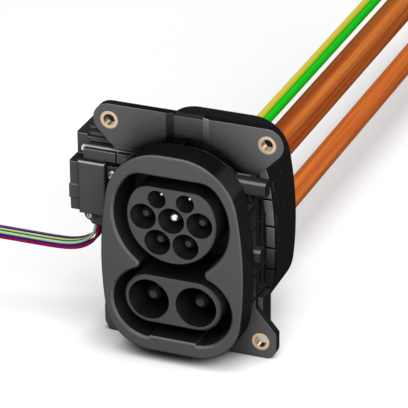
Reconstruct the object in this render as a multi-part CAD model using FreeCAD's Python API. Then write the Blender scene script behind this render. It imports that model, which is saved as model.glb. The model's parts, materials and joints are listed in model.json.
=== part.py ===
import FreeCAD, Part
import math
import os

from FreeCAD import Vector

# Charge port inlet for alternating and direct current, with its side-mounted locking actuator.
# Millimetres. Seen from the front, X points right, Z up and Y into the vehicle.
# Everything is drawn from the earth contact's axis at the collar's front plane. to_row() then moves
# each piece so that the origin lies midway between the upper fixing holes, on the flange's rear face.

# Contact layout
contact_pitch = 16.0
signal_rise = 11.24
dc_half_pitch = 13.5
dc_drop = 48.7

# Contact wells and pins
power_well_radius = 7.4
signal_well_radius = 5.15
dc_well_radius = 11.65
power_pin_radius = 3.0
signal_pin_radius = 1.5
dc_pin_radius = 4.0
power_tip_y = 5.1
earth_tip_y = 4.0
signal_tip_y = 7.0
dc_tip_y = 7.0
power_guard_length = 3.0
dc_guard_length = 4.0
guard_face_share = 0.56
guard_stem_share = 0.4
guard_stem_length = 3.0
power_shoulder_radius = 5.0
signal_shoulder_radius = 3.0
dc_shoulder_radius = 7.5
shoulder_clearance = 0.05
barrel_share = 0.8
barrel_length = 24.0

# Insulating inserts
insert_front_y = 1.0
ac_insert_radius = 25.3
ac_insert_top = 17.9
ac_insert_corner = 11.5
dc_insert_radius = 14.0
ac_insert_chamfer = 0.6
dc_insert_chamfer = 1.1
well_floor = 3.0

# Gap round the inserts, which takes the vehicle connector's shroud
ring_gap = 7.6
top_gap = 7.0
ac_opening_corner = 12.0
dc_gap = 6.8
dc_opening_shift = 2.0
dc_opening_half_pitch = 13.2
neck_radius = 3.0
opening_bevel = 1.0
ac_floor_y = 31.0
dc_floor_y = 38.0
floor_step_z = -25.0
floor_thickness = 3.0
boss_wall = 2.0
bottom_land_height = 1.15
bottom_land_half = 13.2
bottom_land_bevel = 0.6

# Front collar
collar_depth = 16.0
collar_half_width = 40.6
collar_wide_z = -28.0
collar_side_radius = 219.5
collar_top = 37.4
collar_top_radius = 32.6
collar_bottom = -79.3
collar_bottom_radius = 25.8
collar_wall = 2.6
collar_face = 3.0
collar_edge_radius = 1.5
collar_rib = 1.6
sleeve_wall = 2.4
sleeve_clearance = 0.05

# Mounting flange
flange_front_y = 25.0
flange_thickness = 5.0
upper_hole_x = 44.75
upper_hole_z = 40.9
lower_hole_x = 40.9
lower_hole_z = -76.0
ear_radius = 9.2
flange_half_width = 38.1
upper_ear_slope = 45.0
lower_ear_slope = 49.5
lower_ear_reach = 8.95
lower_ear_drop = 9.5
lower_ear_rise = 5.6
lower_ear_radius = 6.4
lower_ear_corner = 1.5
flange_corner = 4.0
bushing_radius = 5.0
bushing_bore_radius = 3.25
recess_depth = 1.5
recess_half = 8.2
recess_facet = 4.0
recess_drop = 1.4
recess_edge_depth = 4.0

# Neck, spigot and ribs behind the flange. The neck's foot is let into the flange's rear face.
neck_seat_depth = 1.0
neck_seat_clearance = 0.05
neck_rear_y = 41.0
spigot_length = 14.0
spigot_wall = 2.5
spigot_clearance = 0.15
rib_thickness = 1.6
side_rib_zs = (6.0, -8.0, -36.0, -50.0)
top_rib_height = 10.0
bar_top = 21.6
bar_height = 8.5
bar_depth = 7.0
bar_reach = 46.2
bar_edge_radius = 2.4
lower_bar_top = -18.4
lower_bar_height = 8.0
lower_bar_reach = 43.2
cheek_stand = 2.6
cheek_top = -52.0
cheek_bottom = -70.5

# Rear housing
housing_front_y = 45.0
housing_rear_y = 82.0
housing_stand = 2.2
housing_wide_z = -26.7
housing_side_radius = 215.0
housing_top = 29.5
housing_top_radius = 21.3
housing_bottom = -74.4
housing_bottom_radius = 26.3
housing_wall = 3.8
housing_rear_wall = 3.0
housing_draft = 0.9
housing_rear_round = 2.0
clip_slot = 1.2
clip_slot_depth = 6.0
clip_slot_zs = (-1.1, -16.9, -29.8, -42.7, -54.3)
clip_lug_zs = (4.6, -14.9, -30.0, -46.0)
clip_lug_height = 5.4
clip_lug_y = 48.0
clip_lug_length = 2.0
clip_lug_stand = 2.6
clip_clearance = 0.3
side_groove_rise = 3.2
side_groove_width = 0.9
side_groove_depth = 0.6
side_groove_length = 15.0
seal_groove_y = 51.4
seal_width = 1.8
seal_depth = 1.2
seal_fit = 0.03

# Cables behind the housing
earth_cable_radius = 4.25
dc_cable_radius = 6.5
ac_cable_radius = 6.5
ac_cable_z = -21.5
cable_end_y = 470.0
ac_cable_start_y = 66.0
seal_ring_wall = 2.4
outlet_wall = 1.8
outlet_length = 8.0
seal_cap_length = 3.0
cap_clearance = 0.3

# Locking bolt and its guide
bolt_y = 25.0
bolt_z = 22.0
bolt_radius = 2.4
bolt_clearance = 0.1
guide_radius = 3.0
guide_lap = 0.4
guide_clearance = 0.1
guide_tail = 2.4
bolt_tail_inset = 5.5
bolt_tip_x = -28.0
bolt_tip_chamfer = 0.6
guide_bar_front_y = 20.0
guide_bar_bottom = 18.5
guide_bar_top = 24.2
guide_bar_stand = 0.5
joint_gap = 0.8

# Actuator on the left side
actuator_stand = 7.9
actuator_width = 20.7
actuator_front_y = 20.0
actuator_upper_y = 31.0
actuator_rear_y = 58.0
actuator_top = 27.4
actuator_shelf = 15.4
actuator_bottom = -12.8
actuator_edge_radius = 1.5
top_step_inset = 6.7
top_step_drop = 1.4
top_step_depth = 3.0
vent_inset = 5.9
vent_y = 41.5
vent_radius = 2.6
vent_height = 1.2
cover_inset = 6.8
cover_lap = 1.8
cover_front_y = 16.0
cover_top = 18.4
cover_edge_radius = 1.5
strap_top = 2.0
strap_bottom = -5.9
strap_stand = 0.5
lug_top = 15.0
lug_bottom = 6.0
lug_gap = 1.1
lug_thickness = 3.0
lower_lug_drop = 18.8
screw_head_radius = 2.6
screw_head_height = 2.0
screw_shank_radius = 1.6
screw_length = 7.0
cover_screw_radius = 1.7
outlet_inset = 9.4
outlet_front_y = 20.5
outlet_rear_y = 31.0
outlet_depth = 7.4
outlet_slant = 5.0
outlet_clearance = 0.3

# Signal wires: two ribbons, the outer one below, each one row of wires deep into the vehicle. The
# routes are (x, z) control points, from the outlet's lower right corner, of a run that turns left.
wire_radius = 0.75
wires_in_ribbon = 5
wire_row_pitch = 1.65
first_wire_y = 22.2
outer_route = [(-5.0, 0), (-5.3, -4.9), (-7.7, -10.6), (-12.9, -15.3), (-20.6, -18.2), (-30.4, -19.3),
               (-71.5, -19.9)]
inner_route = [(-6.7, 0), (-7.0, -3.5), (-9.1, -8.2), (-13.9, -12.1), (-21.4, -14.7), (-30.5, -15.5),
               (-71.5, -16.1)]

# Places that follow from the sizes above
flange_rear_y = flange_front_y + flange_thickness
neck_front_y = flange_rear_y - neck_seat_depth
cheek_reach = flange_half_width + cheek_stand
housing_half_width = flange_half_width + housing_stand
actuator_right = -flange_half_width - actuator_stand
actuator_left = actuator_right - actuator_width
guide_end_x = actuator_right + guide_lap
guide_bar_end_x = -flange_half_width - guide_bar_stand
bolt_tail_x = actuator_left + bolt_tail_inset
top_step_x = actuator_left + top_step_inset
vent_x = actuator_left + vent_inset
cover_left = actuator_left + cover_inset
cover_right = actuator_right + cover_lap
lug_end_x = -flange_half_width - lug_gap
outlet_left = actuator_left + outlet_inset
outlet_bottom = actuator_bottom - outlet_depth


def point(x, z):
    return Vector(x, 0, z)


def arc_point(cx, cz, radius, angle):
    turn = math.radians(angle)
    return point(cx + radius * math.cos(turn), cz + radius * math.sin(turn))


def chain(arcs):
    """Closed wire in the XZ plane: arcs (cx, cz, radius, from, to) joined by straight lines."""
    edges = []
    for i, (cx, cz, radius, start, end) in enumerate(arcs):
        a = arc_point(cx, cz, radius, start)
        mid = arc_point(cx, cz, radius, (start + end) / 2)
        b = arc_point(cx, cz, radius, end)
        edges.append(Part.Arc(a, mid, b).toShape())
        nx, nz, nr, nstart, nend = arcs[(i + 1) % len(arcs)]
        follow = arc_point(nx, nz, nr, nstart)
        if b.distanceToPoint(follow) > 1e-4:
            edges.append(Part.LineSegment(b, follow).toShape())
    return Part.Wire(edges)


def both_sides(half):
    """Adds the mirror image of a half outline that runs from the bottom up the right side."""
    mirror = [(-cx, cz, radius, 180 - end, 180 - start) for cx, cz, radius, start, end in reversed(half)]
    return half + mirror


def rounded_polygon(corners):
    """Closed wire in the XZ plane with each corner (x, z, radius) rounded."""
    arcs = []
    count = len(corners)
    for i, (x, z, radius) in enumerate(corners):
        here = point(x, z)
        before = point(*corners[i - 1][:2]).sub(here).normalize()
        after = point(*corners[(i + 1) % count][:2]).sub(here).normalize()
        half = before.getAngle(after) / 2
        reach = radius / math.tan(half)
        centre = here.add(before.add(after).normalize().multiply(radius / math.sin(half)))
        start = here.add(Vector(before).multiply(reach)).sub(centre)
        end = here.add(Vector(after).multiply(reach)).sub(centre)
        a0 = math.degrees(math.atan2(start.z, start.x))
        a1 = math.degrees(math.atan2(end.z, end.x))
        sweep = (a1 - a0 + 180) % 360 - 180
        arcs.append((centre.x, centre.z, radius, a0, a0 + sweep))
    return chain(arcs)


def prism(wire, y0, y1):
    face = Part.Face(wire)
    face.translate(Vector(0, y0, 0))
    return face.extrude(Vector(0, y1 - y0, 0))


def block(x0, x1, y0, y1, z0, z1):
    return Part.makeBox(x1 - x0, y1 - y0, z1 - z0, Vector(x0, y0, z0))


def rod(x, z, radius, y0, y1):
    return Part.makeCylinder(radius, y1 - y0, Vector(x, y0, z), Vector(0, 1, 0))


def cross_rod(y, z, radius, x0, x1):
    return Part.makeCylinder(radius, x1 - x0, Vector(x0, y, z), Vector(1, 0, 0))


def rod_up(x, y, radius, z0, z1):
    return Part.makeCylinder(radius, z1 - z0, Vector(x, y, z0), Vector(0, 0, 1))


def turned(profile, x, z):
    """Solid of revolution about the Y line through (x, z), from (y, radius) points."""
    points = [Vector(x + radius, y, z) for y, radius in profile]
    face = Part.Face(Part.makePolygon(points + points[:1]))
    return face.revolve(Vector(x, 0, z), Vector(0, 1, 0), 360)


def soften(shape, radius, chosen):
    """Fillets the edges that the test picks."""
    return shape.makeFillet(radius, [edge for edge in shape.Edges if chosen(edge.BoundBox)])


def rounded_block(x0, x1, y0, y1, z0, z1, radius):
    """Block whose edges along X at the front are rounded."""
    def front(box):
        return box.YMax < y0 + 1e-3 and box.ZLength < 1e-3
    return soften(block(x0, x1, y0, y1, z0, z1), radius, front)


def egg_outline(half_width, wide_z, side_radius, top, top_radius, bottom, bottom_radius, offset):
    """Rounded upright outline with gently bulged sides, offset outwards."""
    side_x = half_width - side_radius
    low_z = bottom + bottom_radius
    high_z = top - top_radius
    low_x = side_x + math.sqrt((side_radius - bottom_radius) ** 2 - (low_z - wide_z) ** 2)
    high_x = side_x + math.sqrt((side_radius - top_radius) ** 2 - (high_z - wide_z) ** 2)
    low_angle = math.degrees(math.atan2(low_z - wide_z, low_x - side_x))
    high_angle = math.degrees(math.atan2(high_z - wide_z, high_x - side_x))
    return chain(both_sides([
        (low_x, low_z, bottom_radius + offset, -90, low_angle),
        (side_x, wide_z, side_radius + offset, low_angle, high_angle),
        (high_x, high_z, top_radius + offset, high_angle, 90),
    ]))


def collar_outline(offset=0.0):
    return egg_outline(collar_half_width, collar_wide_z, collar_side_radius, collar_top,
                       collar_top_radius, collar_bottom, collar_bottom_radius, offset)


def housing_outline(offset=0.0):
    return egg_outline(housing_half_width, housing_wide_z, housing_side_radius, housing_top,
                       housing_top_radius, housing_bottom, housing_bottom_radius, offset)


def flat_top_angle(radius, top, corner):
    """Centre and angle of the corner between a circle about the origin and its flat top."""
    cz = top - corner
    cx = math.sqrt((radius - corner) ** 2 - cz ** 2)
    return cx, cz, math.degrees(math.atan2(cz, cx))


def opening_outline(offset=0.0):
    """Figure of eight that takes the connector: a flat-topped circle over a stadium."""
    radius = ac_insert_radius + ring_gap
    low_radius = dc_insert_radius + dc_gap
    low_x = dc_opening_half_pitch
    low_z = -dc_drop - dc_opening_shift
    apart = math.hypot(low_x, low_z)
    upper_reach = radius + neck_radius
    lower_reach = low_radius + neck_radius
    along = (upper_reach ** 2 - lower_reach ** 2 + apart ** 2) / (2 * apart)
    across = math.sqrt(upper_reach ** 2 - along ** 2)
    neck_x = (low_x * along - low_z * across) / apart
    neck_z = (low_z * along + low_x * across) / apart
    upper_angle = math.degrees(math.atan2(neck_z, neck_x))
    lower_angle = math.degrees(math.atan2(neck_z - low_z, neck_x - low_x))
    cx, cz, corner_angle = flat_top_angle(radius, ac_insert_top + top_gap, ac_opening_corner)
    return chain(both_sides([
        (low_x, low_z, low_radius + offset, -90, lower_angle),
        (neck_x, neck_z, neck_radius - offset, lower_angle + 180, upper_angle + 180),
        (0, 0, radius + offset, upper_angle, corner_angle),
        (cx, cz, ac_opening_corner + offset, corner_angle, 90),
    ]))


def ac_insert_outline(offset=0.0):
    cx, cz, corner_angle = flat_top_angle(ac_insert_radius, ac_insert_top, ac_insert_corner)
    return chain(both_sides([
        (0, 0, ac_insert_radius + offset, -90, corner_angle),
        (cx, cz, ac_insert_corner + offset, corner_angle, 90),
    ]))


def dc_insert_outline(offset=0.0):
    return chain(both_sides([(dc_half_pitch, -dc_drop, dc_insert_radius + offset, -90, 90)]))


def flange_outline():
    """Plate with four ears: round corners above, straight-sided ears with a round foot below."""
    upper = math.radians(upper_ear_slope)
    lower = math.radians(lower_ear_slope)
    top = upper_hole_z + ear_radius
    upper_corner_x = upper_hole_x + ear_radius * (1 + math.cos(upper)) / math.sin(upper)
    upper_root_z = top - (upper_corner_x - flange_half_width) * math.tan(upper)
    lower_side_x = lower_hole_x + lower_ear_reach
    shoulder_z = lower_hole_z + lower_ear_rise
    lower_root_z = shoulder_z + (lower_side_x - flange_half_width) * math.tan(lower)
    right = [
        (lower_side_x, lower_hole_z - lower_ear_drop, lower_ear_radius),
        (lower_side_x, shoulder_z, lower_ear_corner),
        (flange_half_width, lower_root_z, flange_corner),
        (flange_half_width, upper_root_z, flange_corner),
        (upper_corner_x, top, ear_radius),
    ]
    return rounded_polygon(right + [(-x, z, radius) for x, z, radius in reversed(right)])


def ac_contacts():
    half = contact_pitch / 2
    row = contact_pitch * math.sqrt(3) / 2
    return {
        "earth": (0.0, 0.0),
        "phase_one": (-contact_pitch, 0.0),
        "phase_two": (-half, -row),
        "phase_three": (half, -row),
        "neutral": (contact_pitch, 0.0),
    }


def signal_contacts():
    half = contact_pitch / 2
    return {"pilot": (-half, signal_rise), "proximity": (half, signal_rise)}


def dc_contacts():
    return {"dc_minus": (-dc_half_pitch, -dc_drop), "dc_plus": (dc_half_pitch, -dc_drop)}


def hole_positions():
    upper = [(sign * upper_hole_x, upper_hole_z) for sign in (-1, 1)]
    lower = [(sign * lower_hole_x, lower_hole_z) for sign in (-1, 1)]
    return upper + lower


def bolt_passage():
    return cross_rod(bolt_y, bolt_z, bolt_radius + bolt_clearance, bolt_tail_x, 0)


def front_collar():
    """Figure-of-eight collar: a front face, a sleeve round the connector and an open-backed skirt."""
    outer = prism(collar_outline(), 0, collar_depth)
    outer = soften(outer, collar_edge_radius, lambda box: box.YMax < 1e-3)
    hollow = prism(collar_outline(-collar_wall), collar_face, collar_depth)
    sleeve = prism(opening_outline(sleeve_wall), collar_face, flange_front_y)
    ribs = [block(-collar_half_width, collar_half_width, collar_face, collar_depth,
                  z - collar_rib / 2, z + collar_rib / 2) for z in side_rib_zs]
    inside = hollow.cut(sleeve)
    for rib in ribs:
        inside = inside.cut(rib)
    collar = outer.cut(inside).fuse(sleeve)
    mouth = Part.makeLoft([moved_wire(opening_outline(opening_bevel), 0),
                           moved_wire(opening_outline(), opening_bevel)], True, True)
    collar = collar.cut(prism(opening_outline(), 0, flange_front_y)).cut(mouth)
    land = bottom_land(0, flange_front_y)
    land_top = land.BoundBox.ZMax
    lip = [edge for edge in land.Edges
           if edge.BoundBox.YMax < 1e-3 and edge.BoundBox.ZMin > land_top - 1e-3]
    land = land.makeChamfer(bottom_land_bevel, lip)
    return collar.fuse(land).cut(bolt_passage()).removeSplitter()


def moved_wire(wire, y):
    moved = wire.copy()
    moved.translate(Vector(0, y, 0))
    return moved


def bottom_land(y0, y1):
    """Raised land along the bottom of the opening."""
    bottom = -dc_drop - dc_opening_shift - dc_insert_radius - dc_gap
    return block(-bottom_land_half, bottom_land_half, y0, y1,
                 bottom - sleeve_wall / 2, bottom + bottom_land_height)


def carrier_flange():
    """Mounting flange: four-ear plate with front ribs, two side bars and the actuator's bracket."""
    body = prism(flange_outline(), flange_front_y, flange_rear_y)
    body = body.fuse([front_ribs(), side_bars(), actuator_bracket()])
    body = body.cut(prism(opening_outline(), flange_front_y, flange_rear_y)).cut(front_recess())
    body = body.cut(neck_foot(neck_front_y, flange_rear_y, neck_seat_clearance))
    body = body.fuse(bottom_land(flange_front_y, neck_front_y))
    for x, z in hole_positions():
        body = body.cut(rod(x, z, bushing_radius, flange_front_y, flange_rear_y))
    return body.cut(bolt_passage()).removeSplitter()


def neck_foot(y0, y1, clearance=0.0):
    """Section of the neck at the flange: ring, webs and cheeks, grown by the clearance."""
    ring = prism(opening_outline(sleeve_wall + clearance), y0, y1)
    return ring.fuse(webs(y0, y1, clearance) + [cheeks(y0, y1, clearance)])


def carrier_neck():
    """Connector neck behind the flange: stepped floor, contact seats, spigot, ribs and cheeks."""
    spigot_end = neck_rear_y + spigot_length
    body = neck_foot(neck_front_y, neck_rear_y)
    body = body.fuse([spigot(spigot_end), rear_fin()])
    body = body.cut(connector_pocket()).cut(rear_pocket())
    body = body.fuse(bottom_land(neck_front_y, dc_floor_y))
    for x, z, radius in shoulder_holes():
        body = body.cut(rod(x, z, radius, ac_floor_y, spigot_end))
    return body.removeSplitter()


def spigot(end_y):
    """Ring behind the neck that the rear housing slides over, with its seal groove and clip lugs."""
    fit = housing_wall + spigot_clearance
    ring = prism(housing_outline(-fit), neck_rear_y - rib_thickness, end_y)
    ring = ring.cut(prism(housing_outline(-fit - spigot_wall), neck_rear_y, end_y))
    groove = prism(housing_outline(), seal_groove_y, seal_groove_y + seal_width)
    groove = groove.cut(prism(housing_outline(-fit - seal_depth), neck_rear_y, end_y))
    ring = ring.cut(groove)
    lug_end = clip_lug_y + clip_lug_length
    lugs = prism(housing_outline(clip_lug_stand - fit), clip_lug_y, lug_end)
    lugs = lugs.cut(prism(housing_outline(-fit - spigot_wall), clip_lug_y, lug_end))
    for z in clip_lug_zs:
        ring = ring.fuse(lugs.common(block(-housing_half_width, housing_half_width, clip_lug_y, lug_end,
                                           z - clip_lug_height / 2, z + clip_lug_height / 2)))
    return ring


def webs(y0, y1, clearance=0.0):
    """Level webs that stiffen both sides of the connector space."""
    half = rib_thickness / 2 + clearance
    return [block(-flange_half_width, flange_half_width, y0, y1, z - half, z + half)
            for z in side_rib_zs]


def front_ribs():
    """Webs and a top rib between the collar and the flange."""
    sleeve_top = ac_insert_top + top_gap + sleeve_wall
    top = block(-rib_thickness / 2, rib_thickness / 2, collar_depth, flange_front_y,
                sleeve_top, sleeve_top + top_rib_height)
    ribs = top.fuse(webs(collar_depth, flange_front_y))
    return ribs.cut(sleeve_space(collar_depth))


def sleeve_space(y0):
    """Room for the collar's sleeve in front of the flange, with its clearance."""
    return prism(opening_outline(sleeve_wall + sleeve_clearance), y0, flange_front_y)


def side_bars():
    """Two rounded bars on the right, in front of the flange."""
    front = flange_front_y - bar_depth
    upper = rounded_block(0, bar_reach, front, flange_front_y, bar_top - bar_height, bar_top,
                          bar_edge_radius)
    lower = rounded_block(0, lower_bar_reach, front, flange_front_y,
                          lower_bar_top - lower_bar_height, lower_bar_top, bar_edge_radius)
    return upper.fuse(lower).cut(sleeve_space(front))


def rear_fin():
    """Upright fin on each side, between the flange and the spigot."""
    y0 = (flange_rear_y + neck_rear_y) / 2
    fin = block(-flange_half_width, flange_half_width, y0, y0 + rib_thickness,
                min(side_rib_zs), max(side_rib_zs))
    return fin.cut(prism(opening_outline(), y0, y0 + rib_thickness))


def cheeks(y0, y1, clearance=0.0):
    """Box walls behind the lower ears, with the connector space filled in."""
    reach = cheek_reach + clearance
    return block(-reach, reach, y0, y1, cheek_bottom - clearance, cheek_top + clearance)


def actuator_bracket():
    """Bolt guide, guide bar and the two screw plates that carry the actuator."""
    guide = cross_rod(bolt_y, bolt_z, guide_radius, guide_end_x, -contact_pitch)
    bar = block(guide_bar_end_x, -contact_pitch, guide_bar_front_y, flange_front_y,
                guide_bar_bottom, guide_bar_top)
    bracket = guide.fuse(bar)
    for drop in (0, lower_lug_drop):
        bracket = bracket.fuse(block(actuator_right + joint_gap, -flange_half_width, flange_front_y,
                                     flange_rear_y, lug_bottom - drop, lug_top - drop))
    bracket = bracket.cut(sleeve_space(collar_depth))
    for x, y, z in lug_screws():
        bracket = bracket.cut(rod(x, z, screw_shank_radius, flange_front_y, flange_rear_y))
    return bracket


def connector_pocket():
    """Space inside the flange and neck: shallow round the upper insert, deeper round the lower."""
    upper = prism(opening_outline(), flange_front_y, ac_floor_y)
    lower = prism(opening_outline(), flange_front_y, dc_floor_y)
    above = block(-collar_half_width, collar_half_width, ac_floor_y, dc_floor_y,
                  floor_step_z, collar_top)
    return upper.fuse(lower.cut(above))


def rear_pocket():
    """Hollow behind the upper floor, leaving a boss round each contact."""
    hollow = prism(opening_outline(), ac_floor_y + floor_thickness, neck_rear_y)
    hollow = hollow.common(block(-collar_half_width, collar_half_width, ac_floor_y, neck_rear_y,
                                 floor_step_z + floor_thickness, collar_top))
    for x, z, radius in shoulder_holes():
        hollow = hollow.cut(rod(x, z, radius + boss_wall, ac_floor_y, neck_rear_y))
    return hollow


def front_recess():
    """Shallow recess in the middle of the flange's top, with sloped ends and a lowered edge."""
    top = upper_hole_z + ear_radius
    wide = recess_half + recess_facet
    profile = [Vector(-wide, flange_front_y, 0), Vector(wide, flange_front_y, 0),
               Vector(recess_half, flange_front_y + recess_depth, 0),
               Vector(-recess_half, flange_front_y + recess_depth, 0)]
    face = Part.Face(Part.makePolygon(profile + profile[:1]))
    face.translate(Vector(0, 0, collar_top - top_gap))
    recess = face.extrude(Vector(0, 0, top - collar_top + top_gap))
    slope = [Vector(-recess_half, flange_front_y, top - recess_drop),
             Vector(-recess_half, flange_front_y + recess_depth, top - recess_drop),
             Vector(-recess_half, flange_front_y + recess_edge_depth, top),
             Vector(-recess_half, flange_front_y, top)]
    edge = Part.Face(Part.makePolygon(slope + slope[:1]))
    return recess.fuse(edge.extrude(Vector(2 * recess_half, 0, 0)))


def shoulder_holes():
    holes = [(x, z, power_shoulder_radius + shoulder_clearance) for x, z in ac_contacts().values()]
    holes += [(x, z, signal_shoulder_radius + shoulder_clearance) for x, z in signal_contacts().values()]
    return holes + [(x, z, dc_shoulder_radius + shoulder_clearance) for x, z in dc_contacts().values()]


def housing_seal():
    rear = seal_groove_y + seal_width
    ring = prism(housing_outline(-housing_wall), seal_groove_y, rear)
    groove_floor = -housing_wall - spigot_clearance - seal_depth + seal_fit
    return ring.cut(prism(housing_outline(groove_floor), seal_groove_y, rear))


def fixing_bushings():
    pieces = []
    for x, z in hole_positions():
        outer = rod(x, z, bushing_radius, flange_front_y, flange_rear_y)
        pieces.append(outer.cut(rod(x, z, bushing_bore_radius, flange_front_y, flange_rear_y)))
    return Part.makeCompound(pieces)


def insert(outline, chamfer, floor_y, wells):
    """Insulating block with a contact well and a shoulder seat for each (x, z, well, shoulder)."""
    body = prism(outline(), insert_front_y + chamfer, floor_y)
    nose = Part.makeLoft([moved_wire(outline(-chamfer), insert_front_y),
                          moved_wire(outline(), insert_front_y + chamfer)], True, True)
    body = body.fuse(nose)
    for x, z, well, shoulder in wells:
        body = body.cut(rod(x, z, well, insert_front_y, floor_y - well_floor))
        body = body.cut(rod(x, z, shoulder + shoulder_clearance, floor_y - well_floor, floor_y))
    return body.removeSplitter()


def ac_insert():
    wells = [(x, z, power_well_radius, power_shoulder_radius) for x, z in ac_contacts().values()]
    wells += [(x, z, signal_well_radius, signal_shoulder_radius) for x, z in signal_contacts().values()]
    return insert(ac_insert_outline, ac_insert_chamfer, ac_floor_y, wells)


def dc_insert():
    wells = [(x, z, dc_well_radius, dc_shoulder_radius) for x, z in dc_contacts().values()]
    return insert(dc_insert_outline, dc_insert_chamfer, dc_floor_y, wells)


def guarded_contact(x, z, pin, shoulder, tip_y, guard, floor_y):
    """Pin whose end face holds the stem of a touch guard, with a shoulder and a crimp barrel."""
    start = tip_y + guard
    seat = floor_y - well_floor
    barrel = neck_rear_y + barrel_length
    return turned([
        (start, pin * guard_stem_share), (start, pin), (seat, pin), (seat, shoulder),
        (neck_rear_y, shoulder), (neck_rear_y, shoulder * barrel_share),
        (barrel, shoulder * barrel_share), (barrel, 0), (start + guard_stem_length, 0),
        (start + guard_stem_length, pin * guard_stem_share)], x, z)


def touch_guard(x, z, pin, tip_y, guard):
    """Plastic cap with a flat nose and a stem that sits in the pin."""
    start = tip_y + guard
    return turned([
        (tip_y, 0), (tip_y, pin * guard_face_share), (tip_y + guard * guard_stem_share, pin),
        (start, pin), (start, pin * guard_stem_share),
        (start + guard_stem_length, pin * guard_stem_share), (start + guard_stem_length, 0)], x, z)


def bare_contact(x, z, pin, shoulder, tip_y):
    """Bare metal pin with a domed end, a shoulder and a crimp barrel."""
    seat = ac_floor_y - well_floor
    barrel = neck_rear_y + barrel_length
    dome = [(tip_y + pin - pin * math.cos(math.radians(a)), pin * math.sin(math.radians(a)))
            for a in range(0, 91, 18)]
    return turned(dome + [(seat, pin), (seat, shoulder), (neck_rear_y, shoulder),
                          (neck_rear_y, shoulder * barrel_share), (barrel, shoulder * barrel_share),
                          (barrel, 0)], x, z)


def add_contacts(parts):
    for name, (x, z) in ac_contacts().items():
        if name == "earth":
            parts["earth_contact"] = bare_contact(x, z, power_pin_radius, power_shoulder_radius,
                                                  earth_tip_y)
            continue
        parts[name + "_contact"] = guarded_contact(x, z, power_pin_radius, power_shoulder_radius,
                                                   power_tip_y, power_guard_length, ac_floor_y)
        parts[name + "_guard"] = touch_guard(x, z, power_pin_radius, power_tip_y, power_guard_length)
    for name, (x, z) in signal_contacts().items():
        parts[name + "_contact"] = bare_contact(x, z, signal_pin_radius, signal_shoulder_radius,
                                                signal_tip_y)
    for name, (x, z) in dc_contacts().items():
        parts[name + "_contact"] = guarded_contact(x, z, dc_pin_radius, dc_shoulder_radius,
                                                   dc_tip_y, dc_guard_length, dc_floor_y)
        parts[name + "_guard"] = touch_guard(x, z, dc_pin_radius, dc_tip_y, dc_guard_length)


def cable_lines():
    """Name, place and radius of each power cable, and where it starts inside the housing."""
    barrel = neck_rear_y + barrel_length
    return {
        "earth": (0.0, 0.0, earth_cable_radius, barrel),
        "ac": (0.0, ac_cable_z, ac_cable_radius, ac_cable_start_y),
        "dc_minus": (-dc_half_pitch, -dc_drop, dc_cable_radius, barrel),
        "dc_plus": (dc_half_pitch, -dc_drop, dc_cable_radius, barrel),
    }


def rear_housing():
    """Rear cover: a drafted shell with snap tongues at its rim and an outlet for each cable."""
    sections = [
        moved_wire(housing_outline(housing_draft), housing_front_y),
        moved_wire(housing_outline(0), housing_rear_y - housing_rear_round),
        moved_wire(housing_outline(-housing_rear_round * 0.3), housing_rear_y - housing_rear_round * 0.3),
        moved_wire(housing_outline(-housing_rear_round), housing_rear_y),
    ]
    shell = Part.makeLoft(sections, True, True)
    inside = housing_rear_y - housing_rear_wall
    shell = shell.cut(prism(housing_outline(-housing_wall), housing_front_y, inside))
    for x, z, radius, start in cable_lines().values():
        bore = radius + seal_ring_wall
        shell = shell.fuse(rod(x, z, bore + outlet_wall, inside, housing_rear_y + outlet_length))
        shell = shell.cut(rod(x, z, bore, inside, housing_rear_y + outlet_length))
    wide = housing_half_width + housing_draft
    for z in clip_slot_zs:
        shell = shell.cut(block(-wide, wide, housing_front_y, housing_front_y + clip_slot_depth,
                                z - clip_slot / 2, z + clip_slot / 2))
    for z in clip_lug_zs:
        window = block(-wide - 1, wide + 1, clip_lug_y - clip_clearance,
                       clip_lug_y + clip_lug_length + clip_clearance,
                       z - clip_lug_height / 2 - clip_clearance, z + clip_lug_height / 2 + clip_clearance)
        shell = shell.cut(window).cut(side_groove(z + side_groove_rise))
    return shell.removeSplitter()


def side_groove(z):
    """Shallow groove that runs back from the top of a clip window, on both sides."""
    wide = housing_half_width + housing_draft
    end = clip_lug_y + side_groove_length
    groove = block(-wide, wide, clip_lug_y, end, z - side_groove_width / 2, z + side_groove_width / 2)
    return groove.cut(prism(housing_outline(-side_groove_depth), clip_lug_y, end))


def add_cable_fittings(parts):
    inside = housing_rear_y - housing_rear_wall
    mouth = housing_rear_y + outlet_length
    for name, (x, z, radius, start) in cable_lines().items():
        ring = rod(x, z, radius + seal_ring_wall, inside, mouth)
        parts[name + "_cable_seal"] = ring.cut(rod(x, z, radius, inside, mouth))
        cap = turned([
            (mouth, radius + cap_clearance), (mouth, radius + seal_ring_wall + outlet_wall),
            (mouth + seal_cap_length * 0.6, radius + seal_ring_wall + outlet_wall),
            (mouth + seal_cap_length, radius + seal_ring_wall + outlet_wall * 0.4),
            (mouth + seal_cap_length, radius + cap_clearance)], x, z)
        parts[name + "_seal_cap"] = cap
        parts[name + "_cable"] = rod(x, z, radius, start, cable_end_y)


def lug_screws():
    """Places of the two screws that hold the actuator on its bracket."""
    x = (lug_end_x + actuator_right + joint_gap) / 2
    z = (lug_top + lug_bottom) / 2
    y = flange_front_y - lug_thickness
    return [(x, y, z), (x, y, z - lower_lug_drop)]


def cover_screw():
    return cover_left + 3 * cover_screw_radius, actuator_bottom - cover_screw_radius


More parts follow.
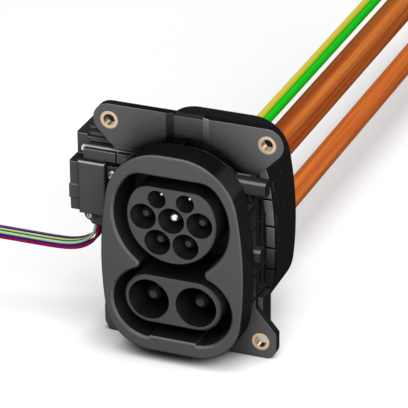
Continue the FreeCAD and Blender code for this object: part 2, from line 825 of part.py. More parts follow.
def actuator_housing():
    """Stepped box of the locking actuator, with the outer half of the bolt guide and its lugs."""
    lower = block(actuator_left, actuator_right, actuator_front_y, actuator_rear_y,
                  actuator_bottom, actuator_shelf)
    upper = block(actuator_left, actuator_right, actuator_upper_y, actuator_rear_y,
                  actuator_bottom, actuator_top)
    body = lower.fuse(upper).removeSplitter()
    body = soften(body, actuator_edge_radius, lambda box: box.YLength < 1e-3 and box.XLength < 1e-3
                  and box.XMax < actuator_left + 1e-3)
    strap = block(actuator_left, cover_left, actuator_front_y - strap_stand, actuator_front_y + 1,
                  strap_bottom, strap_top)
    nose = block(cover_left + 2, actuator_right, guide_bar_front_y, actuator_upper_y + 1,
                 guide_bar_bottom - 4, guide_bar_top)
    bar = block(actuator_right - 1, guide_bar_end_x - joint_gap, guide_bar_front_y, bolt_y,
                guide_bar_bottom, guide_bar_top)
    bar = bar.cut(cross_rod(bolt_y, bolt_z, guide_radius + guide_clearance, guide_end_x - guide_clearance,
                            guide_bar_end_x))
    guide = cross_rod(bolt_y, bolt_z, guide_radius, bolt_tail_x + guide_tail,
                      guide_end_x - guide_clearance)
    vent = rod_up(vent_x, vent_y, vent_radius, actuator_top - 1, actuator_top + vent_height)
    body = body.cut(top_step()).fuse([strap, nose, bar, guide, vent])
    for x, y, z in lug_screws():
        lug = block(actuator_right - 1, lug_end_x, y, flange_front_y, z - (lug_top - lug_bottom) / 2,
                    z + (lug_top - lug_bottom) / 2)
        body = body.fuse(lug).cut(rod(x, z, screw_shank_radius, y, flange_front_y))
    x, z = cover_screw()
    foot = rod(x, z, 2 * cover_screw_radius, actuator_front_y, actuator_front_y + screw_length)
    body = body.fuse(foot).cut(rod(x, z, screw_shank_radius * 0.7, actuator_front_y,
                                   actuator_front_y + screw_length - 2))
    return body.cut(bolt_passage()).removeSplitter()


def top_step():
    """Lowered front edge along the right part of the actuator's top."""
    return block(top_step_x, actuator_right, actuator_upper_y, actuator_upper_y + top_step_depth,
                 actuator_top - top_step_drop, actuator_top)


def actuator_cover():
    """Front cover of the actuator, with softened top and side edges."""
    cover = block(cover_left, cover_right, cover_front_y, actuator_front_y, actuator_bottom, cover_top)
    return soften(cover, cover_edge_radius, lambda box: box.YMax < cover_front_y + 1e-3)


def screw(x, y, z, head, height, shank, length):
    """Socket-head screw along Y, its head standing on the face at y."""
    body = turned([(y - height, 0.5 * head), (y - height, 0.85 * head), (y - 0.7 * height, head),
                   (y, head), (y, shank), (y + length, shank), (y + length, 0),
                   (y - 0.4 * height, 0), (y - 0.4 * height, 0.5 * head)], x, z)
    return body


def actuator_screws():
    pieces = [screw(x, y, z, screw_head_radius, screw_head_height, screw_shank_radius, screw_length)
              for x, y, z in lug_screws()]
    x, z = cover_screw()
    pieces.append(screw(x, actuator_front_y, z, cover_screw_radius, screw_head_height * 0.8,
                        screw_shank_radius * 0.7, screw_length - 2))
    return Part.makeCompound(pieces)


def locking_bolt():
    """Round steel bolt: domed tail at the left, chamfered tip at the right."""
    length = bolt_tip_x - bolt_tail_x
    profile = [Vector(0, 0, 0)]
    for angle in range(0, 91, 18):
        turn = math.radians(angle)
        profile.append(Vector(bolt_radius - bolt_radius * math.cos(turn), 0, bolt_radius * math.sin(turn)))
    profile += [Vector(length - bolt_tip_chamfer, 0, bolt_radius),
                Vector(length, 0, bolt_radius - bolt_tip_chamfer), Vector(length, 0, 0)]
    face = Part.Face(Part.makePolygon(profile[1:] + profile[1:2]))
    bolt = face.revolve(Vector(0, 0, 0), Vector(1, 0, 0), 360)
    bolt.translate(Vector(bolt_tail_x, bolt_y, bolt_z))
    return bolt


def wire_outlet():
    """Moulded outlet under the actuator, cut on the slant, that the signal wires leave."""
    corners = [Vector(outlet_left, outlet_front_y, actuator_bottom),
               Vector(actuator_right, outlet_front_y, actuator_bottom),
               Vector(actuator_right, outlet_front_y, outlet_bottom),
               Vector(actuator_right - 2 * outlet_slant + 2, outlet_front_y, outlet_bottom),
               Vector(outlet_left, outlet_front_y, outlet_bottom + outlet_slant)]
    face = Part.Face(Part.makePolygon(corners + corners[:1]))
    body = face.extrude(Vector(0, outlet_rear_y - outlet_front_y, 0))
    x, z = cover_screw()
    return body.cut(rod(x, z, 2 * cover_screw_radius + outlet_clearance, outlet_front_y, outlet_rear_y))


def wire_routes():
    """Control points of each signal wire: down out of the outlet, round and away to the left."""
    routes = {}
    for ribbon, route in enumerate((outer_route, inner_route)):
        for row in range(wires_in_ribbon):
            y = first_wire_y + row * wire_row_pitch
            number = ribbon * wires_in_ribbon + row + 1
            routes["signal_wire_%02d" % number] = [Vector(actuator_right + x, y, outlet_bottom + z)
                                                   for x, z in route]
    return routes


def tube(points, radius):
    """Round cord of straight runs joined by tangent arcs; prints its tightest arc."""
    edges = []
    here = points[0]
    tightest = None
    for before, corner, after in zip(points, points[1:], points[2:]):
        inward = corner.sub(before)
        outward = after.sub(corner)
        short = min(inward.Length, outward.Length)
        turn = inward.getAngle(outward)
        reach = 0.45 * short
        bend = reach / math.tan(turn / 2)
        tightest = bend if tightest is None else min(tightest, bend)
        inward.normalize()
        outward.normalize()
        start = corner.sub(Vector(inward).multiply(reach))
        end = corner.add(Vector(outward).multiply(reach))
        across = outward.sub(inward).normalize()
        centre_gap = bend / math.cos(turn / 2)
        mid = corner.add(Vector(across).multiply(centre_gap - bend))
        edges.append(Part.LineSegment(here, start).toShape())
        edges.append(Part.Arc(start, mid, end).toShape())
        here = end
    edges.append(Part.LineSegment(here, points[-1]).toShape())
    path = Part.Wire(edges)
    first = points[1].sub(points[0])
    ring = Part.Wire([Part.Circle(points[0], first, radius).toShape()])
    body = path.makePipeShell([ring], True, False)
    error = body.Volume / (math.pi * radius ** 2 * path.Length) - 1
    print("cord length %.1f tightest arc %.1f volume error %.4f" % (path.Length, tightest, error))
    return body


def to_row(shape):
    """Moves a piece so that the origin is midway between the upper holes on the rear face."""
    moved = shape.copy()
    moved.translate(Vector(0, -flange_rear_y, -upper_hole_z))
    return moved


def build():
    parts = {
        "front_collar": front_collar(),
        "carrier_flange": carrier_flange(),
        "carrier_neck": carrier_neck(),
        "fixing_bushings": fixing_bushings(),
        "ac_insert": ac_insert(),
        "dc_insert": dc_insert(),
        "rear_housing": rear_housing(),
        "housing_seal": housing_seal(),
        "actuator_housing": actuator_housing(),
        "actuator_cover": actuator_cover(),
        "actuator_screws": actuator_screws(),
        "locking_bolt": locking_bolt(),
        "wire_outlet": wire_outlet(),
    }
    add_contacts(parts)
    add_cable_fittings(parts)
    for name, route in wire_routes().items():
        parts[name] = tube(route, wire_radius)
    return parts


os.makedirs("parts", exist_ok=True)
for node, piece in build().items():
    to_row(piece).exportStep("parts/%s.step" % node)
    print(node, "solids", len(piece.Solids), "volume %.0f" % piece.Volume, "valid", piece.isValid())
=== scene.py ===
import json
import math

import bpy
from mathutils import Matrix, Vector

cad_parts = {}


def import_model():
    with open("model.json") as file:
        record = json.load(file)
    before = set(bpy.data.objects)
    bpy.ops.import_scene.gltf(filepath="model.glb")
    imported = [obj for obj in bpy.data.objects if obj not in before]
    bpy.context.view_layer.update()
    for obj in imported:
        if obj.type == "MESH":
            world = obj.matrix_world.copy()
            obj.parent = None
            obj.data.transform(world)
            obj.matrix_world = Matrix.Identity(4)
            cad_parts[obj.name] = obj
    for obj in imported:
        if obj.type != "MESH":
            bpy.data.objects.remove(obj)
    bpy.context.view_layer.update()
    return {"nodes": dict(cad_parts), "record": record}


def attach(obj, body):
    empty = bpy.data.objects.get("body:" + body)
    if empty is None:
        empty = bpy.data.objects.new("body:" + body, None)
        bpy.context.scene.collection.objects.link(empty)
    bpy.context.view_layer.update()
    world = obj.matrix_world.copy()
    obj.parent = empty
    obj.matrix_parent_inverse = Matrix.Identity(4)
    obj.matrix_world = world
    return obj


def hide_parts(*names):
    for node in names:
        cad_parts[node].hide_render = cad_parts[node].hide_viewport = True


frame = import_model()

# The part is drawn in millimetres from the earth contact's axis at the collar's front plane. The row's
# origin is midway between the upper fixing holes, on the flange's rear face, so one shift joins the two.
SHIFT = Vector((0.0, 30.0, 40.9))


def at(x, y, z):
    """A point of the drawing, in millimetres, as a point of the row, in metres."""
    return (Vector((x, y, z)) - SHIFT) / 1000


def add_object(name, data):
    made = bpy.data.objects.new(name, data)
    bpy.context.collection.objects.link(made)
    return made


# Camera, fitted to the photograph's contacts, cables and collar

SENSOR_WIDTH = 36
LENS = 296.984
CAMERA_PLACE = Vector((0.61195734, -1.48072534, 0.75088456))
CAMERA_RIGHT = (0.92741302, 0.37392166, -0.00936439)
CAMERA_UP = (-0.15847044, 0.41547521, 0.89569385)
CAMERA_BACK = (0.33881000, -0.82919415, 0.44457265)


def camera():
    data = bpy.data.cameras.new("camera")
    data.sensor_width = SENSOR_WIDTH
    data.lens = LENS
    data.clip_start = 0.05
    data.clip_end = 20
    made = add_object("camera", data)
    turn = Matrix((CAMERA_RIGHT, CAMERA_UP, CAMERA_BACK)).transposed()
    made.matrix_world = Matrix.Translation(CAMERA_PLACE) @ turn.to_4x4()
    bpy.context.scene.camera = made


camera()


# Nodes

def feed(tree, place, value):
    """Links an input to another node's output, or sets it to a number, a vector or a colour."""
    if isinstance(value, bpy.types.NodeSocket):
        tree.links.new(value, place)
    elif place.type == "RGBA":
        place.default_value = (*value, 1)
    else:
        place.default_value = value


def node(tree, kind, **inputs):
    """A new node, its inputs fed by name, with underscores for the spaces in a name."""
    made = tree.nodes.new(kind)
    for key, value in inputs.items():
        feed(tree, made.inputs[key.replace("_", " ")], value)
    return made


def material(name):
    mat = bpy.data.materials.new(name)
    mat.use_nodes = True
    return mat, mat.node_tree, mat.node_tree.nodes["Principled BSDF"]


def set_shader(tree, bsdf, values):
    for key, value in values.items():
        feed(tree, bsdf.inputs[key], value)


def calc(tree, operation, first, second=0.0):
    made = tree.nodes.new("ShaderNodeMath")
    made.operation = operation
    feed(tree, made.inputs[0], first)
    feed(tree, made.inputs[1], second)
    return made.outputs[0]


def product(tree, first, second):
    return calc(tree, "MULTIPLY", first, second)


def all_but(tree, share):
    """One less the share."""
    return calc(tree, "SUBTRACT", 1.0, share)


def between(tree, value, low, high, start=0.3, end=0.7):
    """The low value up to the start, the high one from the end on, and a straight ramp between."""
    made = node(tree, "ShaderNodeMapRange", Value=value, From_Min=start, From_Max=end, To_Min=low,
                To_Max=high)
    return made.outputs["Result"]


def mix(tree, share, first, second, blend="MIX"):
    """The first colour, with the second one in its place by the given share."""
    made = tree.nodes.new("ShaderNodeMix")
    made.data_type = "RGBA"
    made.blend_type = blend
    for key, value in (("Factor", share), ("A", first), ("B", second)):
        feed(tree, made.inputs[key], value)
    return made.outputs["Result"]


def multiplied(tree, colour, factor):
    return mix(tree, 1.0, colour, factor, "MULTIPLY")


def scaled(colour, factor):
    return tuple(min(1.0, c * factor) for c in colour)


def place_on(tree):
    """The point on the object, in the row's metres."""
    return tree.nodes.new("ShaderNodeTexCoord").outputs["Object"]


def smooth_normal(tree):
    return tree.nodes.new("ShaderNodeTexCoord").outputs["Normal"]


def parts_of(tree, vector):
    split = node(tree, "ShaderNodeSeparateXYZ", Vector=vector)
    return [split.outputs[axis] for axis in "XYZ"]


def stretched(tree, scale):
    """The point on the object with each axis scaled, for grain that runs one way."""
    return node(tree, "ShaderNodeMapping", Vector=place_on(tree), Scale=scale).outputs["Vector"]


def noise(tree, vector, scale, detail=2.0, roughness=0.5):
    made = node(tree, "ShaderNodeTexNoise", Vector=vector, Scale=scale, Detail=detail,
                Roughness=roughness)
    return made.outputs["Fac"]


def occlusion(tree, reach, samples, **inputs):
    """One in the open, less in corners and gaps narrower than the reach."""
    made = node(tree, "ShaderNodeAmbientOcclusion", Distance=reach, **inputs)
    made.samples = samples
    return made.outputs["AO"]


def rounded_normal(tree, radius):
    """The normal as if the sharp edges were rounded."""
    made = node(tree, "ShaderNodeBevel", Radius=radius)
    made.samples = 4
    return made.outputs["Normal"]


def bump(tree, height, strength, distance, **inputs):
    made = node(tree, "ShaderNodeBump", Strength=strength, Distance=distance, Height=height, **inputs)
    return made.outputs["Normal"]


def agreement(tree, first, second):
    """The cosine of the angle between two directions."""
    dot = tree.nodes.new("ShaderNodeVectorMath")
    dot.operation = "DOT_PRODUCT"
    feed(tree, dot.inputs[0], first)
    feed(tree, dot.inputs[1], second)
    return dot.outputs["Value"]


def towards(tree, normal, sides, low, high, start, end):
    """The low value for most normals and the high one for those that point to one of the sides."""
    found = [between(tree, agreement(tree, normal, side), low, high, start, end) for side in sides]
    while len(found) > 1:
        found.append(calc(tree, "MAXIMUM", found.pop(0), found.pop(0)))
    return found[0]


# Where the painted shade and painted highlights change. Each mask tells faces apart by their place or
# direction on the object. A place is a pair, in the row's metres, between which the mask goes from one
# value to the other.

REAR_AND_LEFT = ((-0.6, 0.8, 0.0), (-0.3, 0.95, 0.1), (-0.95, 0.3, 0.0), (0.3, 0.95, 0.0))
PLATE_FRONT_Y = (-0.0056, -0.0052)
PLATE_REAR_Y = (-0.001, 0.0)
BARS_INNER_X = (0.030, 0.031)
ABOVE_BARS_Z = (-0.0192, -0.0182)
BETWEEN_BARS_Z = (-0.06, -0.03)
ABOVE_LOWER_EARS_Z = (-0.095, -0.085)
COLLAR_SIDE_X = (0.034, 0.036)
ACTUATOR_RIGHT_X = (-0.045, -0.030)
RECESS_HALF_X = (0.0123, 0.0125)
TONGUES_Z = (-0.082, -0.0505)
TONGUE_REAR_Y = (0.0160, 0.0165)


def facing_front(tree, start=-0.85, end=-0.35):
    """One on faces that look out of the vehicle, along -Y, and nought on sides and tops."""
    return between(tree, parts_of(tree, smooth_normal(tree))[1], 1.0, 0.0, start, end)


def facing_up(tree, factor):
    """The factor on faces that look up and one on all others."""
    return between(tree, parts_of(tree, smooth_normal(tree))[2], 1.0, factor, 0.3, 0.85)


def rear_and_left_lift(tree, factor):
    """The factor on faces that look back or left, where the painted shade of the sides is lifted, one
    elsewhere.
    """
    return towards(tree, smooth_normal(tree), REAR_AND_LEFT, 1.0, factor, 0.45, 0.8)


def sharp_edges(tree, rounded, start, end):
    """One where the rounded normal leaves the true one, which is on edges."""
    flat = tree.nodes.new("ShaderNodeNewGeometry").outputs["Normal"]
    return between(tree, agreement(tree, rounded, flat), 1.0, 0.0, start, end)


def painted_edge_highlight(tree, rounded, gain, sides):
    """Factor for the base colour that paints highlights on edges: one on flat faces, a little more on
    edges, and up to the gain on the edges that face the given sides."""
    edge = sharp_edges(tree, rounded, 0.75, 0.98)
    highlight_toward = towards(tree, rounded, sides, 0.25, gain - 1.0, 0.55, 0.92)
    return calc(tree, "ADD", 1.0, product(tree, edge, highlight_toward))


def bright_rim(tree, rounded, sides, colour, pale, start, where=1.0):
    """The colour, with a painted highlight: pale on sharp edges that face one of the given sides."""
    edge = product(tree, sharp_edges(tree, rounded, 0.72, 0.9),
                   towards(tree, rounded, sides, 0.0, 1.0, start, 0.95))
    return mix(tree, product(tree, edge, where), colour, (pale, pale, pale * 1.02))


def painted_round_highlight(tree, sides, gain):
    """Painted highlight: nought on most faces and up to the gain on rounded corners that face the given
    sides.
    """
    return towards(tree, smooth_normal(tree), sides, 0.0, gain, 0.86, 0.985)


def in_opening(tree, half_x, centre_z, half_z):
    """One on the walls that lie within the opening's bounds and nought outside them."""
    x, _, z = parts_of(tree, place_on(tree))
    across = calc(tree, "DIVIDE", calc(tree, "ABSOLUTE", x), half_x)
    up = calc(tree, "ABSOLUTE", calc(tree, "SUBTRACT", z, centre_z))
    up = calc(tree, "DIVIDE", up, half_z)
    return between(tree, calc(tree, "MAXIMUM", across, up), 1.0, 0.0, 0.98, 1.02)


def recess_ends(tree):
    """Factor for the sloped ends of the flange's recess: painted shade on the left one, a painted highlight
    on the right one.
    """
    across = calc(tree, "ABSOLUTE", parts_of(tree, place_on(tree))[0])
    facing_x = parts_of(tree, smooth_normal(tree))[0]
    left = between(tree, facing_x, 0.0, -0.6, 0.15, 0.33)
    right = between(tree, facing_x, 1.2, 0.0, -0.33, -0.15)
    change = product(tree, calc(tree, "ADD", left, right), between(tree, across, 1.0, 0.0, *RECESS_HALF_X))
    return calc(tree, "ADD", 1.0, change)


def behind_flange(tree):
    """One on the neck and its ribs, behind the flange's plate, and nought on the plate."""
    return between(tree, parts_of(tree, place_on(tree))[1], 0.0, 1.0, *PLATE_REAR_Y)


def on_bars(tree):
    """One on the two bars that stand out of the flange at the right and nought elsewhere."""
    x, y, _ = parts_of(tree, place_on(tree))
    return product(tree, between(tree, y, 1.0, 0.0, *PLATE_FRONT_Y),
                   between(tree, x, 0.0, 1.0, *BARS_INNER_X))


def beside_collar(tree):
    """One on the flange above the bars, partly beside the collar below that, and nought on the bars, on
    the lower ears and on the actuator's side."""
    x, _, z = parts_of(tree, place_on(tree))
    outside = between(tree, calc(tree, "ABSOLUTE", x), 0.0, 1.0, *COLLAR_SIDE_X)
    height = calc(tree, "ADD", between(tree, z, 0.0, 0.5, *ABOVE_LOWER_EARS_Z),
                  between(tree, z, 0.0, 0.4, *BETWEEN_BARS_Z))
    above = between(tree, z, 0.0, 1.0, *ABOVE_BARS_Z)
    near = calc(tree, "MAXIMUM", product(tree, outside, height), above)
    near = product(tree, near, between(tree, x, 0.0, 1.0, *ACTUATOR_RIGHT_X))
    return product(tree, near, all_but(tree, on_bars(tree)))


def shaded_flange(tree):
    """Factor for the flange's front faces: painted shade on the bars and on all that lies behind the plate.
    """
    covered = calc(tree, "MAXIMUM", behind_flange(tree), on_bars(tree))
    return all_but(tree, product(tree, covered, 0.64))


def shaded_housing(tree):
    """Factor for the housing's front faces: painted shade that gets darker down the snap tongues, and
    darker still in their windows."""
    _, y, z = parts_of(tree, place_on(tree))
    return product(tree, between(tree, z, 0.12, 1.0, *TONGUES_Z),
                   between(tree, y, 1.0, 0.25, *TONGUE_REAR_Y))


# Finishes, some with painted light and shade

MOTTLE = 0.08
REAR_LIFT = 4.0
FACING_UP_AND_OUT = (0.0, -0.6, 0.8)
RIB_EDGES = ((0.65, -0.75, 0.1), (0.45, -0.55, 0.7))


def moulded(name, face, side, inner, roughness=0.5, grain=2600.0, strength=0.25, edge=0.0005, edge_highlight_gain=1.8,
            highlight_toward=(FACING_UP_AND_OUT,), round_highlight_gain=1.0, reach=0.012, gloss=0.02, front=(-0.85, -0.35),
            top=1.0, opening=None, glint=None, shaded=None, round_collar=False):
    """Moulded plastic with painted light and shade: paler front faces, dark outer sides and walls inside
    gaps between the two, painted highlights on edges and rounds, and painted shade in corners; also fine
    grain and flow marks."""
    mat, tree, bsdf = material(name)
    flow = noise(tree, place_on(tree), 34.0, 3.0, 0.55)
    face, side, inner = (mix(tree, flow, scaled(c, 1 - MOTTLE), scaled(c, 1 + MOTTLE))
                         for c in (face, side, inner))
    open_air = occlusion(tree, reach, 8)
    # Painted shade on the front faces, where the part gives a shading factor.
    if shaded:
        face = multiplied(tree, face, shaded(tree))
    # Painted light and shade: face, side and inner colours are lit and shaded tones of one plastic; the inner
    # one goes on walls within the opening or in narrow gaps.
    if opening:
        sides = mix(tree, in_opening(tree, *opening), side, inner)
    else:
        sides = mix(tree, between(tree, open_air, 0.0, 1.0, 0.45, 0.8), inner, side)
    # Painted shade on faces that look up.
    if top < 1.0:
        sides = multiplied(tree, sides, facing_up(tree, top))
    # Faces that look back or left are lifted out of the sides' painted shade.
    sides = multiplied(tree, sides, rear_and_left_lift(tree, REAR_LIFT))
    # Painted light: front faces take the paler face colour, all others the shaded side colours.
    colour = mix(tree, facing_front(tree, *front), sides, face)

    # Painted highlights on edges, strongest on those that face the given highlight directions.
    rounded = rounded_normal(tree, edge)
    factor = painted_edge_highlight(tree, rounded, edge_highlight_gain, highlight_toward)
    away = 1.0
    # Painted shade beside the collar: darker in corners and on faces that look up; the recess ends get
    # painted shade and highlight.
    if round_collar:
        near = beside_collar(tree)
        away = all_but(tree, near)
        corner_shade = all_but(tree, between(tree, open_air, 0.03, 1.0, 0.5, 0.9))
        top_shade = all_but(tree, facing_up(tree, 0.45))
        lit_share = product(tree, all_but(tree, product(tree, corner_shade, near)),
                        all_but(tree, product(tree, top_shade, near)))
        lit_share = product(tree, lit_share, recess_ends(tree))
    else:
        # Painted shade in corners and narrow gaps.
        lit_share = between(tree, open_air, 0.8, 1.0, 0.5, 0.9)
    factor = product(tree, factor, lit_share)
    # Painted highlights on rounded corners that face the given highlight directions.
    if round_highlight_gain > 1.0:
        painted_sheen = product(tree, painted_round_highlight(tree, highlight_toward, round_highlight_gain - 1.0), away)
        factor = product(tree, factor, calc(tree, "ADD", 1.0, painted_sheen))
    colour = multiplied(tree, colour, factor)
    # Painted highlight on sharp edges that face the glint's direction.
    if glint:
        colour = bright_rim(tree, rounded, (glint,), colour, 0.42, 0.8)
    # Painted highlights on the edges of the ribs behind the flange.
    if round_collar:
        colour = bright_rim(tree, rounded, RIB_EDGES, colour, 0.075, 0.6, behind_flange(tree))

    marks = noise(tree, stretched(tree, (60.0, 25.0, 90.0)), 1.0, 4.0, 0.6)
    set_shader(tree, bsdf, {
        "Base Color": colour,
        "Roughness": between(tree, marks, roughness - 0.07, roughness + 0.07),
        "Specular IOR Level": 0.0,
        "Coat Weight": gloss,
        "Coat Roughness": 0.25,
        "Normal": bump(tree, noise(tree, place_on(tree), grain, 2.0, 0.6), strength, 0.00006, Normal=rounded),
    })
    return mat


def turned_metal(name, colour, roughness, bore=1.0):
    """Metal turned on a lathe: fine rings along Y, small changes of tint, and a bore that may take
    painted shade, with the draw marks of the knurled stock along it."""
    mat, tree, bsdf = material(name)
    tint = noise(tree, place_on(tree), 220.0, 3.0, 0.6)
    shade = mix(tree, tint, scaled(colour, 0.9), scaled(colour, 1.06))
    # Painted shade in the bore: walls that don't face the front are darker, with the knurl's draw marks in
    # it.
    if bore < 1.0:
        marks = noise(tree, stretched(tree, (700.0, 5.0, 700.0)), 1.0, 2.0, 0.5)
        inside = between(tree, marks, bore * 0.5, bore * 2.2, 0.42, 0.6)
        front = facing_front(tree, -0.95, -0.75)
        factor = calc(tree, "ADD", front, product(tree, all_but(tree, front), inside))
        shade = multiplied(tree, shade, factor)
    rings = noise(tree, stretched(tree, (40.0, 5200.0, 40.0)), 1.0, 2.0, 0.5)
    set_shader(tree, bsdf, {
        "Base Color": shade,
        "Metallic": 1.0,
        "Roughness": between(tree, rings, roughness - 0.07, roughness + 0.1),
        "Normal": bump(tree, rings, 0.2, 0.00003, Normal=rounded_normal(tree, 0.0002)),
    })
    return mat


def jacket_gloss(tree, bsdf, colour, roughness, relief):
    """The satin surface of an extruded jacket, without the white sheen at its outline."""
    set_shader(tree, bsdf, {
        "Base Color": colour, "Roughness": roughness, "Specular IOR Level": 0.0, "Coat Weight": 0.03,
        "Coat Roughness": 0.35, "Normal": relief,
    })


def cable_jacket(name, colour, dark, roughness, along, strength):
    """Extruded jacket: long draw lines along the cable and a slow change of roughness."""
    mat, tree, bsdf = material(name)
    lines = noise(tree, stretched(tree, along), 1.0, 3.0, 0.6)
    shade = mix(tree, between(tree, lines, 0.0, 1.0, 0.35, 0.65), dark, colour)
    slow = noise(tree, place_on(tree), 60.0, 3.0)
    jacket_gloss(tree, bsdf, shade, between(tree, slow, roughness - 0.05, roughness + 0.08),
                 bump(tree, lines, strength, 0.00012))
    return mat


def striped_jacket(name, green, yellow, centre, start, end):
    """Two-colour earth jacket: a yellow stripe along the cable between two angles about its axis, in
    degrees, with painted shade along the stripe's edges: the green darker beside it and the yellow
    darker away from its middle."""
    mat, tree, bsdf = material(name)
    x, _, z = parts_of(tree, place_on(tree))
    angle = calc(tree, "ARCTAN2", calc(tree, "SUBTRACT", z, centre.z), calc(tree, "SUBTRACT", x, centre.x))
    middle = math.radians((start + end) / 2)
    half = math.radians((end - start) / 2)
    off_middle = calc(tree, "ABSOLUTE", calc(tree, "SUBTRACT", angle, middle))
    in_stripe = between(tree, off_middle, 1.0, 0.0, half - 0.04, half + 0.04)
    lines = noise(tree, stretched(tree, (900.0, 12.0, 900.0)), 1.0, 3.0, 0.6)
    shade = mix(tree, lines, scaled(green, 0.85), scaled(green, 1.1))
    # Painted shade along the stripe's edges.
    shade = multiplied(tree, shade, between(tree, off_middle, 0.45, 1.0, half, half + 0.30))
    stripe = mix(tree, between(tree, off_middle, 0.0, 1.0, 0.15, half), scaled(yellow, 1.2),
                 scaled(yellow, 0.65))
    jacket_gloss(tree, bsdf, mix(tree, in_stripe, shade, stripe), between(tree, lines, 0.32, 0.46),
                 bump(tree, lines, 0.3, 0.0001))
    return mat


def srgb(r, g, b):
    """Linear colour from the 0-255 values seen on screen."""
    def one(v):
        v /= 255
        return v / 12.92 if v <= 0.04045 else ((v + 0.055) / 1.055) ** 2.4
    return one(r), one(g), one(b)


def grey(level):
    return srgb(level, level, level + 1)


# The plastics' three colours are those of front faces, outer sides and walls inside gaps: painted lit and
# shaded tones of one plastic.
FINISH = {
    "collar_plastic": moulded(
        "collar_plastic", grey(88), grey(25), grey(46), edge=0.0009, edge_highlight_gain=4.0, round_highlight_gain=1.7, top=0.5,
        highlight_toward=((0.78, -0.6, 0.2), (0.1, -0.65, 0.75)), glint=(0.5, 0.5, 0.7),
        opening=(0.0345, -0.062, 0.0515)),
    "flange_plastic": moulded(
        "flange_plastic", grey(98), grey(27), grey(46), edge=0.0007, edge_highlight_gain=4.0, round_highlight_gain=5.0, reach=0.03,
        shaded=shaded_flange, round_collar=True),
    "insert_plastic": moulded(
        "insert_plastic", grey(85), grey(42), grey(76), edge=0.0003, reach=0.008, top=0.35),
    "housing_plastic": moulded(
        "housing_plastic", grey(130), grey(26), grey(30), 0.42, edge=0.0007, edge_highlight_gain=4.5, reach=0.004,
        highlight_toward=((0.5, -0.6, 0.6),), gloss=0.01, shaded=shaded_housing),
    "actuator_plastic": moulded(
        "actuator_plastic", grey(82), grey(36), grey(34), 0.45, edge=0.0009, edge_highlight_gain=6.0, round_highlight_gain=6.0,
        gloss=0.05),
    "guard_plastic": moulded(
        "guard_plastic", grey(72), grey(30), grey(34), 0.4, strength=0.1, edge=0.0002, edge_highlight_gain=1.0,
        reach=0.004, front=(-0.99, -0.9)),
    "seal_rubber": moulded("seal_rubber", grey(60), grey(48), grey(48), 0.6, grain=1200.0, edge_highlight_gain=1.2),
    "silver_plate": turned_metal("silver_plate", (0.80, 0.78, 0.74), 0.26),
    "bushing_brass": turned_metal("bushing_brass", (0.66, 0.49, 0.32), 0.3, bore=0.3),
    "bolt_steel": turned_metal("bolt_steel", (0.62, 0.62, 0.61), 0.24),
    "screw_steel": turned_metal("screw_steel", (0.40, 0.40, 0.41), 0.34),
}
for part in frame["record"]["subparts"]:
    if part["material_slot"] in FINISH:
        for place in frame["nodes"][part["node"]].material_slots:
            place.material = FINISH[part["material_slot"]]


# Cords. Routes are in the drawing's millimetres, as in part.py.

CABLE_END = 470.0
CABLE_BEND = 60.0
CABLES = (
    # name, x, z, radius, start, slot
    ("earth", 0.0, 0.0, 4.25, 65.0, "cable_earth"),
    ("ac", 0.0, -21.5, 6.5, 66.0, "cable_orange"),
    ("dc_minus", -13.5, -48.7, 6.5, 65.0, "cable_orange"),
    ("dc_plus", 13.5, -48.7, 6.5, 65.0, "cable_orange"),
)
JACKETS = {
    "cable_orange": cable_jacket("cable_orange", srgb(217, 126, 56), srgb(180, 84, 38), 0.36,
                                 (300.0, 4.0, 300.0), 0.5),
    "cable_earth": striped_jacket("cable_earth", srgb(26, 194, 30), srgb(196, 186, 56), at(0, 0, 0), 64, 157),
}

WIRE_FIRST_Y = 22.2
WIRE_PITCH = 1.65
WIRE_DIAMETER = 0.0015
WIRES_IN_RIBBON = 5
OUTER_ROUTE = ((-51.0, -20.2), (-51.3, -25.1), (-53.7, -30.8), (-58.9, -35.4), (-66.6, -38.2),
               (-76.4, -39.1), (-97.0, -39.2), (-117.5, -39.3))
INNER_ROUTE = ((-52.7, -20.2), (-53.0, -23.7), (-55.1, -28.6), (-59.9, -32.6), (-67.4, -35.3),
               (-76.5, -36.1), (-97.0, -36.15), (-117.5, -36.2))
RIBBONS = ((OUTER_ROUTE, 0.0770), (INNER_ROUTE, 0.0727))
WIRES = ("wire_red", "wire_violet", "wire_violet_blue", "wire_blue", "wire_yellow",
         "wire_cyan", "wire_green", "wire_yellow", "wire_blue", "wire_grey")
WIRE_COLOURS = {
    "wire_red": srgb(158, 20, 70), "wire_violet": srgb(106, 52, 190),
    "wire_violet_blue": srgb(100, 74, 196), "wire_blue": srgb(44, 36, 116),
    "wire_yellow": srgb(206, 216, 128), "wire_cyan": srgb(184, 212, 178),
    "wire_green": srgb(48, 98, 42), "wire_grey": srgb(110, 78, 112),
}
for slot, colour in WIRE_COLOURS.items():
    JACKETS[slot] = cable_jacket(slot, colour, scaled(colour, 0.8), 0.4, (2500.0, 2500.0, 2500.0), 0.1)


def cord_curve(name, points, radius, mat):
    """Round cord on one NURBS spline whose control points are given, in metres."""
    curve = bpy.data.curves.new(name, "CURVE")
    curve.dimensions = "3D"
    curve.bevel_depth = radius
    curve.bevel_resolution = 6
    curve.use_fill_caps = True
    curve.resolution_u = 16
    spline = curve.splines.new("NURBS")
    spline.points.add(len(points) - 1)
    for place, p in zip(spline.points, points):
        place.co = (*p, 1)
    spline.order_u = 3
    spline.use_endpoint_u = True
    curve.materials.append(mat)
    return add_object(name, curve)


def cables():
    for name, x, z, radius, start, slot in CABLES:
        along = (start, start + CABLE_BEND, (start + CABLE_END) / 2, CABLE_END - CABLE_BEND, CABLE_END)
        cable = cord_curve(name + "_cable_jacket", [at(x, y, z) for y in along], radius / 1000,
                           JACKETS[slot])
        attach(cable, "inlet")
        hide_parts(name + "_cable")


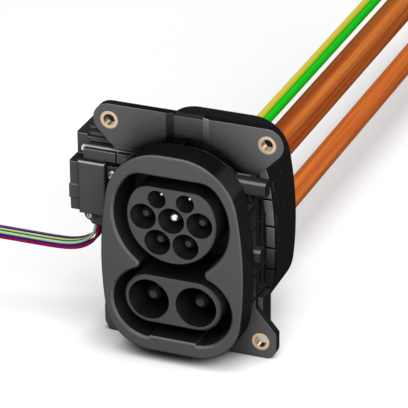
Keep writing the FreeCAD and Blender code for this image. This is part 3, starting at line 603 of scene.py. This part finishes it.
def signal_wires():
    for index, slot in enumerate(WIRES):
        ribbon, place = divmod(index, WIRES_IN_RIBBON)
        route, length = RIBBONS[ribbon]
        y = WIRE_FIRST_Y + WIRE_PITCH * place
        points = [at(x, y, z) for x, z in route]
        number = "%02d" % (index + 1)
        wire = cord_curve("wire_" + number + "_jacket", points, WIRE_DIAMETER / 2, JACKETS[slot])
        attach(wire, "inlet")
        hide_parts("signal_wire_" + number)


cables()
signal_wires()


# Floor, background and light

FLOOR_HALF = 6.0
FLOOR_LEVEL = -85.7
SHADOW_TILT = {"X": 0.557, "Y": -0.371, "Z": 0.743}


def seen_directly(tree):
    """One for what the camera sees, also in metal or through glass."""
    path = tree.nodes.new("ShaderNodeLightPath").outputs
    seen = calc(tree, "MAXIMUM", path["Is Camera Ray"], path["Is Glossy Ray"])
    return calc(tree, "MAXIMUM", seen, path["Is Transmission Ray"])


def floor():
    """White floor with the lamps' shadows and a painted soft shadow that is deepest under the object and
    leans to its left.
    """
    z = at(0, 0, FLOOR_LEVEL).z
    mesh = bpy.data.meshes.new("floor")
    corners = ((-FLOOR_HALF, -FLOOR_HALF, z), (FLOOR_HALF, -FLOOR_HALF, z), (FLOOR_HALF, FLOOR_HALF, z),
               (-FLOOR_HALF, FLOOR_HALF, z))
    mesh.from_pydata(corners, [], [(0, 1, 2, 3)])
    made = add_object("floor", mesh)
    mat, tree, bsdf = material("floor_paint")
    seen = seen_directly(tree)
    tilt = node(tree, "ShaderNodeCombineXYZ", **SHADOW_TILT).outputs["Vector"]
    # Painted shadow: floor colour and glow fall off with occlusion that leans along the tilt.
    wide = between(tree, occlusion(tree, 0.035, 16, Normal=tilt), 0.06, 1.0, 0.30, 0.86)
    near = between(tree, occlusion(tree, 0.02, 16, Normal=tilt), 0.0, 0.36, 0.46, 0.68)
    set_shader(tree, bsdf, {
        "Base Color": product(tree, between(tree, seen, 0.30, 0.62, 0.0, 1.0), wide),
        "Roughness": 0.9,
        "Specular IOR Level": 0.0,
        "Emission Color": (1, 1, 1),
        "Emission Strength": product(tree, near, seen),
    })
    mesh.materials.append(mat)


def world():
    made = bpy.data.worlds.new("studio")
    bpy.context.scene.world = made
    made.use_nodes = True
    tree = made.node_tree
    background = tree.nodes["Background"].inputs
    feed(tree, background["Color"], (1, 1, 1))
    feed(tree, background["Strength"], between(tree, seen_directly(tree), 0.28, 1.0, 0.0, 1.0))


def sun(name, source, level, angle):
    """Even soft light from one direction. At level 1 a matte face square to it shows its own colour."""
    data = bpy.data.lights.new(name, "SUN")
    data.energy = math.pi * level
    data.angle = math.radians(angle)
    add_object(name, data).matrix_world = Vector(source).to_track_quat("Z", "Y").to_matrix().to_4x4()


def lamp(name, place, aim, size, power):
    """Rectangular lamp that lights the object from near by and isn't seen itself."""
    data = bpy.data.lights.new(name, "AREA")
    data.shape = "RECTANGLE"
    data.size, data.size_y = size
    data.energy = power
    made = add_object(name, data)
    place, aim = Vector(place), Vector(aim)
    turn = (aim - place).to_track_quat("-Z", "Y").to_matrix().to_4x4()
    made.matrix_world = Matrix.Translation(place) @ turn
    made.visible_camera = False


floor()
world()
lamp("key", (0.11, -0.27, 0.17), (0.0, 0.0, -0.03), (0.34, 0.16), 0.90)
sun("side", (0.85, 0.08, 0.50), 0.10, 30)
sun("top", (0.08, -0.24, 1.0), 0.52, 34)
sun("back", (0.45, 0.75, 0.60), 0.26, 40)
bpy.context.scene.view_settings.view_transform = "Standard"
